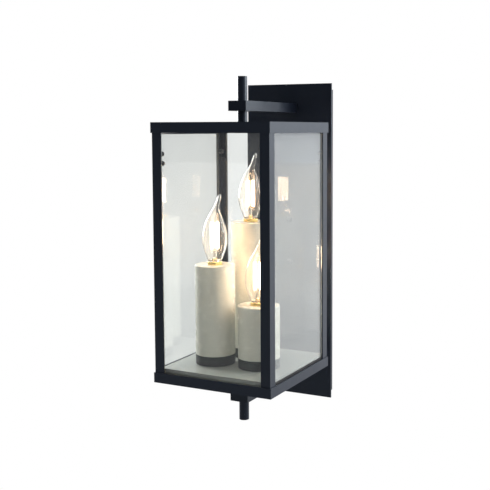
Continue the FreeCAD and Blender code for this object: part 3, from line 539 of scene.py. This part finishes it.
def make_mount(candle):
    """The flared glass mount and the wires that hold the light sticks."""
    foot = lamp_axis(candle)
    bm = bmesh.new()
    flare = (
        (AXIS_POINT, 0.8),
        (4.6, 0.8),
        (3.6, 2.2),
        (2.3, 5.0),
        (1.9, 9.0),
        (1.6, 13.0),
        (0.9, 14.6),
        (AXIS_POINT, 15.0),
    )
    add_turned(bm, smooth_through(flare, 3), foot, 32)
    mesh = finish_mesh(f"{candle}_glass_mount", bm)
    new_piece(f"{candle}_glass_mount", mesh, f"{candle}_lamp", "lamp_envelope_glass", LAMP_GLASS)

    curve = bpy.data.curves.new(f"{candle}_support_wires", "CURVE")
    curve.dimensions = "3D"
    curve.bevel_depth = WIRE_RADIUS * MM
    curve.bevel_resolution = 3
    top = STICK_FOOT + STICK_LENGTH
    routes = [((0, 0, 13.0), (0, 0, top + 3.0))]
    ends = ((12.5, STICK_FOOT - 2.5, STICK_FOOT + 0.3), (top + 2.5, top + 1.6, top - 0.3))
    for ray in stick_rays():
        bent = ray * STICK_RING * 0.6
        held = ray * STICK_RING
        for inner, bow, end in ends:
            routes.append(((0, 0, inner), (bent.x, bent.y, bow), (held.x, held.y, end)))
    for route in routes:
        spline = curve.splines.new("NURBS")
        spline.points.add(len(route) - 1)
        for point, place in zip(spline.points, route):
            point.co = (*(foot + Vector(place) * MM), 1.0)
        spline.order_u = min(3, len(route))
        spline.use_endpoint_u = True
    piece = bpy.data.objects.new(f"{candle}_support_wires", curve)
    bpy.context.scene.collection.objects.link(piece)
    curve.materials.append(WIRE)
    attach(piece, f"{candle}_lamp")


def make_lamp_base(candle):
    """The rolled screw shell, and the fluted collar that shows at the sleeve's mouth."""
    node = f"{candle}_lamp_base"
    low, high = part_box(node)
    foot = lamp_axis(candle)
    shell_foot = (low.z - high.z) / MM
    collar_foot = -COLLAR_TOP - 1.8
    collar = (high.x - low.x) / 2 / MM
    bore = SHELL_CREST - SHELL_WALL

    def threaded(radius, height, angle):
        return radius + THREAD_DEPTH * (math.cos(2 * math.pi * height / THREAD_PITCH - angle) - 1)

    def fluted(radius, height, angle):
        return radius - 0.22 * (1 + math.cos(COLLAR_FLUTES * angle)) * (radius > collar - 0.8)

    bm = bmesh.new()
    rows = 56
    climb = [shell_foot + (collar_foot - shell_foot) * row / rows for row in range(rows + 1)]
    shell = [(SHELL_CREST, height) for height in climb] + [(bore, height) for height in reversed(climb)]
    add_turned(bm, shell, foot, 48, radius_at=threaded)
    rim = (
        (bore, collar_foot),
        (collar - 1.0, collar_foot),
        (collar - 0.3, collar_foot + 0.3),
        (collar, collar_foot + 1.0),
        (collar, -0.9),
        (collar - 0.3, -0.3),
        (collar - 0.9, 0.0),
        (collar - 1.4, 0.0),
        (collar - 1.4, collar_foot + 0.6),
        (bore, collar_foot + 0.6),
    )
    add_turned(bm, rim, foot, COLLAR_FLUTES * 6, radius_at=fluted)
    mesh = finish_mesh(f"{candle}_screw_base", bm)
    new_piece(f"{candle}_screw_base", mesh, f"{candle}_lamp", "lamp_brass", BRASS, node)


# ---- fasteners and seal ----

def facing(direction):
    """A turn that carries +Z to the given direction."""
    return Vector(direction).to_track_quat("Z", "Y").to_matrix()


def slot_depth(local):
    """How far a screw head is sunk at a point, for its driver slot."""
    return SLOT_CUT if local.z > SLOT_FLOOR and abs(local.y) < SLOT_HALF_WIDTH else 0.0


def make_pane_screws(name, body, node, sides):
    """Ball-headed, slotted screws through the legs, with their heads over the edges of the panes."""
    axis = middle("upper_stem")
    ball = (
        (2.4, SCREW_HEAD_FOOT),
        (3.1, 4.6),
        (3.4, 6.3),
        (3.2, 7.9),
        (2.4, 9.2),
        (1.2, 9.8),
        (AXIS_POINT, 9.95),
    )
    shank = [(AXIS_POINT, 0.0), (SCREW_SHANK, 0.0), (SCREW_SHANK, SCREW_HEAD_FOOT)]
    outline = shank + smooth_through(ball, 4)
    bm = bmesh.new()
    for outward, level in sides:
        out = Vector(outward)
        along = Vector((-out.y, out.x, 0.0))
        for sign in (-1, 1):
            reach = out * LEG_INSIDE + along * PANE_SCREW_OFFSET * sign
            at = Vector((axis.x, axis.y, level * MM)) + reach * MM
            add_turned(bm, outline, at, 40, facing(-out), dent_at=slot_depth)
    new_piece(name, finish_mesh(name, bm), body, "screw_finish", SCREW_COAT, node)


def hexed(radius, height, angle):
    """Six flats on the wide lower part of a nut."""
    if height > NUT_FLATS_TOP or radius < NUT_FLATS_INSIDE:
        return radius
    return radius * math.cos(math.pi / 6) / math.cos(angle % (math.pi / 3) - math.pi / 6)


def make_acorn_nuts():
    low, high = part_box("cap_nuts")
    dome = smooth_through(((3.7, NUT_FLATS_TOP), (3.6, 4.2), (2.9, 5.2), (1.7, 5.85), (AXIS_POINT, 6.0)), 3)
    flats = [(AXIS_POINT, 0.0), (4.3, 0.0), (NUT_RADIUS, 0.3), (NUT_RADIUS, 2.9), (4.3, 3.2)]
    bm = bmesh.new()
    for level in (low.z + NUT_RADIUS * MM, high.z - NUT_RADIUS * MM):
        at = Vector(((low.x + high.x) / 2, high.y, level))
        add_turned(bm, flats + dome, at, 72, facing((0, -1, 0)), hexed)
    new_piece("acorn_nuts", finish_mesh("acorn_nuts", bm), "lantern", "screw_finish", BLACK_COAT, "cap_nuts")


def make_painted_shadow_bead():
    """A soft black bead along the foot of the right-hand pane, on the pan's rim: painted shadow, a dark strip
    put where the gap there lies in shade.
    """
    glass_low, glass_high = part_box("right_glass")
    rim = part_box("bottom_pan")[1].z
    half_height = 0.0021
    end_gap = 0.004
    swell = 0.0007
    lift = 0.0008
    rows = 24
    ring = 10
    bm = bmesh.new()
    columns = []
    for row in range(rows + 1):
        across = glass_low.y + end_gap + (glass_high.y - glass_low.y - 2 * end_gap) * row / rows
        column = []
        for step in range(ring + 1):
            angle = math.pi * (step / ring - 0.5)
            bulge = swell * math.cos(angle) + 0.0001
            level = rim + lift + half_height * math.sin(angle)
            column.append(bm.verts.new((glass_high.x + bulge, across, level)))
        columns.append(column)
    for here, after in zip(columns, columns[1:]):
        for step in range(ring):
            bm.faces.new((here[step], after[step], after[step + 1], here[step + 1]))
    bmesh.ops.solidify(bm, geom=bm.faces[:], thickness=0.0003)
    # The bead is painted shadow: a dark strip filling the shaded gap under the pane.
    new_piece("painted_shadow_bead", finish_mesh("painted_shadow_bead", bm), "lantern", "closed_cell_foam", FOAM)


# ---- stage ----

def make_stage():
    level = Matrix.Translation((0, 0, CAD_BOX[0].z - FLOOR_DROP))
    bm = bmesh.new()
    bmesh.ops.create_grid(bm, x_segments=2, y_segments=2, size=FLOOR_REACH, matrix=level)
    mesh = bpy.data.meshes.new("floor")
    bm.to_mesh(mesh)
    bm.free()
    floor = bpy.data.objects.new("floor", mesh)
    bpy.context.scene.collection.objects.link(floor)
    shade = Shade("pale_floor", Roughness=1.0, Specular_IOR_Level=0.0)
    shade.shader.inputs["Emission Color"].default_value = (1.0, 1.0, 1.0, 1.0)
    direct = seen_directly(shade.tree)
    speckle = shade.blend(shade.noise(3.0), (0.13, 0.13, 0.135), (0.15, 0.15, 0.155))
    shade.colour(shade.blend(direct, speckle, (0.0, 0.0, 0.0)))
    across = shade.add("ShaderNodeSeparateXYZ")
    shade.join(shade.place, across.inputs["Vector"])
    sweep = shade.remap(across.outputs["Y"], 0.1, 2.0, 0.1, 1.05)
    path = shade.add("ShaderNodeLightPath")
    mirrored = shade.maths("MULTIPLY", path.outputs["Is Glossy Ray"], sweep)
    shade.join(shade.maths("MAXIMUM", direct, mirrored), shade.shader.inputs["Emission Strength"])
    mesh.materials.append(shade.material)


def soft_ramp(tree, source, low, high, to_low, to_high):
    """A smooth rise between two values in the world's node tree."""
    ramp = tree.nodes.new("ShaderNodeMapRange")
    ramp.interpolation_type = "SMOOTHSTEP"
    for name, value in (("From Min", low), ("From Max", high), ("To Min", to_low), ("To Max", to_high)):
        ramp.inputs[name].default_value = value
    tree.links.new(source, ramp.inputs["Value"])
    return ramp.outputs["Result"]


def make_world():
    """A pale studio: bright behind and beside the lantern, dim on the camera's side."""
    world = bpy.data.worlds.new("studio")
    bpy.context.scene.world = world
    world.use_nodes = True
    tree = world.node_tree
    background = tree.nodes["Background"]
    place = tree.nodes.new("ShaderNodeTexCoord")
    split = tree.nodes.new("ShaderNodeSeparateXYZ")
    tree.links.new(place.outputs["Generated"], split.inputs["Vector"])
    behind = soft_ramp(tree, split.outputs["Y"], -0.75, 0.55, 0.10, 1.1)
    beside = soft_ramp(tree, split.outputs["X"], -0.1, 0.5, 1.0, 1.1)
    strength = tree.nodes.new("ShaderNodeMath")
    strength.operation = "MULTIPLY"
    tree.links.new(behind, strength.inputs[0])
    tree.links.new(beside, strength.inputs[1])
    tint = tree.nodes.new("ShaderNodeMix")
    tint.data_type = "RGBA"
    tint.inputs[6].default_value = (0.86, 0.93, 1.06, 1.0)
    tint.inputs[7].default_value = (0.92, 0.97, 1.05, 1.0)
    tree.links.new(behind, tint.inputs[0])
    around = tree.nodes.new("ShaderNodeBackground")
    tree.links.new(tint.outputs[2], around.inputs["Color"])
    tree.links.new(strength.outputs["Value"], around.inputs["Strength"])
    background.inputs["Color"].default_value = (1.0, 1.0, 1.0, 1.0)
    background.inputs["Strength"].default_value = 1.0
    mix = tree.nodes.new("ShaderNodeMixShader")
    tree.links.new(seen_directly(tree), mix.inputs["Fac"])
    tree.links.new(around.outputs["Background"], mix.inputs[1])
    tree.links.new(background.outputs["Background"], mix.inputs[2])
    tree.links.new(mix.outputs["Shader"], tree.nodes["World Output"].inputs["Surface"])


def make_light(name, place, aim, size, power):
    light = bpy.data.lights.new(name, "AREA")
    light.shape = "SQUARE"
    light.size = size
    light.energy = power
    lamp = bpy.data.objects.new(name, light)
    bpy.context.scene.collection.objects.link(lamp)
    lamp.visible_camera = False
    lamp.location = place
    lamp.rotation_euler = (Vector(aim) - Vector(place)).to_track_quat("-Z", "Y").to_euler()


def make_camera():
    ahead = Vector((-math.sin(CAMERA_YAW), math.cos(CAMERA_YAW), 0.0))
    toward = ahead * math.cos(CAMERA_DROP) - Vector((0.0, 0.0, math.sin(CAMERA_DROP)))
    level = Vector((math.cos(CAMERA_YAW), math.sin(CAMERA_YAW), 0.0))
    right = Matrix.Rotation(-CAMERA_ROLL, 3, toward) @ level
    up = right.cross(toward)
    camera = bpy.data.cameras.new("camera")
    camera.lens = CAMERA_LENS
    camera.sensor_width = 36.0
    camera.shift_x, camera.shift_y = CAMERA_SHIFT
    holder = bpy.data.objects.new("camera", camera)
    bpy.context.scene.collection.objects.link(holder)
    turned = Matrix((right, up, -toward)).transposed().to_4x4()
    holder.matrix_world = Matrix.Translation(CAMERA_PLACE) @ turned
    bpy.context.scene.camera = holder


# ---- the whole scene ----

bpy.context.scene.view_settings.view_transform = "Standard"
make_camera()
make_world()
make_stage()
for light_values in LIGHTS:
    make_light(*light_values)
dress_nodes()
for lamp_name in CANDLES:
    make_lamp_glass(lamp_name)
    make_light_sticks(lamp_name)
    make_mount(lamp_name)
    make_lamp_base(lamp_name)
fixed_sides = (((0, -1, 0), FRONT_SCREW_LEVEL), ((0, 1, 0), FRONT_SCREW_LEVEL), ((1, 0, 0), SIDE_SCREW_LEVEL))
make_pane_screws("domed_screws", "lantern", "pane_screws", fixed_sides)
make_pane_screws("door_domed_screws", "door", "door_pane_screws", (((-1, 0, 0), SIDE_SCREW_LEVEL),))
make_acorn_nuts()
make_painted_shadow_bead()
